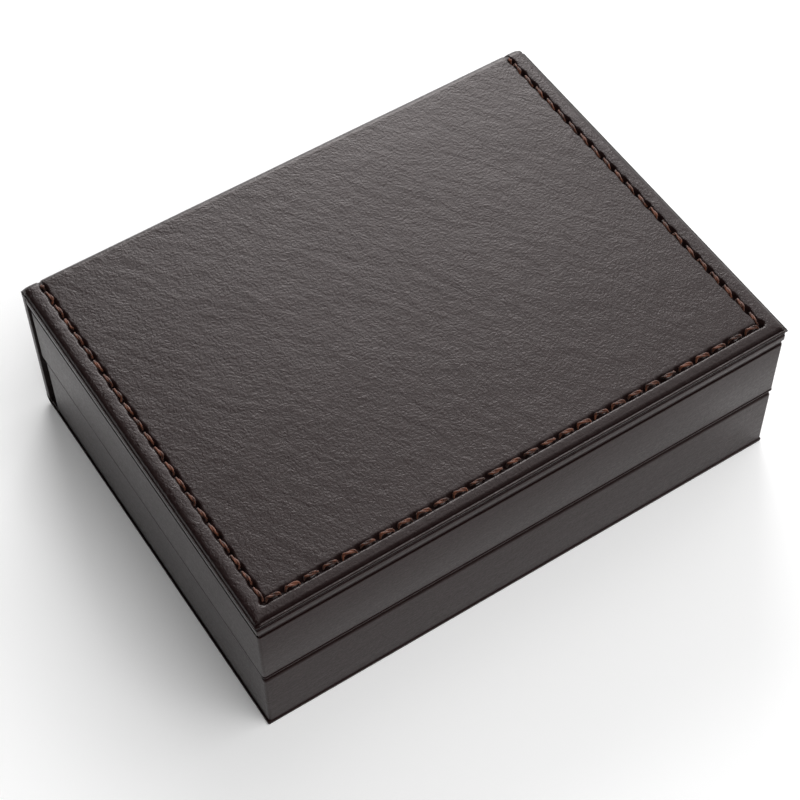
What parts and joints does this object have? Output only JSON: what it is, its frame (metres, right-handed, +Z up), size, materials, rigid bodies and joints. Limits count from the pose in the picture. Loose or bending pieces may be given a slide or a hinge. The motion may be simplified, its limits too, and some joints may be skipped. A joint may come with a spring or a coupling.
{
  "type": "pen gift box",
  "caption": "Book-style clamshell pen gift box in leatherette: stitched padded lid, folding spine, two trays, pen bed with troughs and elastic bands.",
  "frame": {"origin": "middle of the box's underside, closed", "axes": "+X along the long side, which is the direction of both folds; +Y from the front to the spine; +Z up"},
  "size_m": [0.17, 0.1296, 0.055],
  "materials": {
    "leatherette": "semi-matt wrinkled leatherette",
    "greyboard": "matt",
    "wall_board": "fibreboard",
    "velvet": "flocked",
    "satin": "satin",
    "foam": "matt foam",
    "elastic": "woven elastic",
    "ribbon": "satin ribbon",
    "thread": "waxed twisted thread",
    "magnet": "nickel plated"
  },
  "bodies": {
    "base": {"base_board": "greyboard", "base_wrap": "leatherette", "base_liner": "leatherette", "lower_front_wall": "wall_board", "lower_back_wall": "wall_board", "lower_left_wall": "wall_board", "lower_right_wall": "wall_board", "lower_tray_floor": "greyboard", "lower_tray_wrap": "leatherette", "lower_tray_lining": "velvet", "lower_magnets": "magnet", "foam_bed": "foam", "velvet_bed_cover": "velvet", "elastic_band_left": "elastic", "elastic_band_right": "elastic", "lift_tab": "ribbon"},
    "spine": {"spine_board": "greyboard", "spine_cover": "leatherette", "spine_liner": "leatherette"},
    "lid": {"lid_case_board": "greyboard", "lid_case_wrap": "leatherette", "lid_liner": "leatherette", "panel_backing": "leatherette", "panel_board": "greyboard", "panel_foam": "foam", "lid_cover": "leatherette", "seam_thread": "thread", "upper_front_wall": "wall_board", "upper_back_wall": "wall_board", "upper_left_wall": "wall_board", "upper_right_wall": "wall_board", "upper_tray_floor": "greyboard", "upper_tray_wrap": "leatherette", "upper_tray_lining": "satin", "upper_magnets": "magnet", "lid_pad_board": "greyboard", "lid_pad": "satin"}
  },
  "joints": [
    {"name": "spine_fold", "type": "hinge", "parent": "base", "child": "spine", "pos_m": [0, 0.06411, 0.00064], "axis": [-1, 0, 0], "range_deg": [0, 90]},
    {"name": "lid_fold", "type": "hinge", "parent": "spine", "child": "lid", "pos_m": [0, 0.06411, 0.05436], "axis": [-1, 0, 0], "range_deg": [0, 90]}
  ]
}
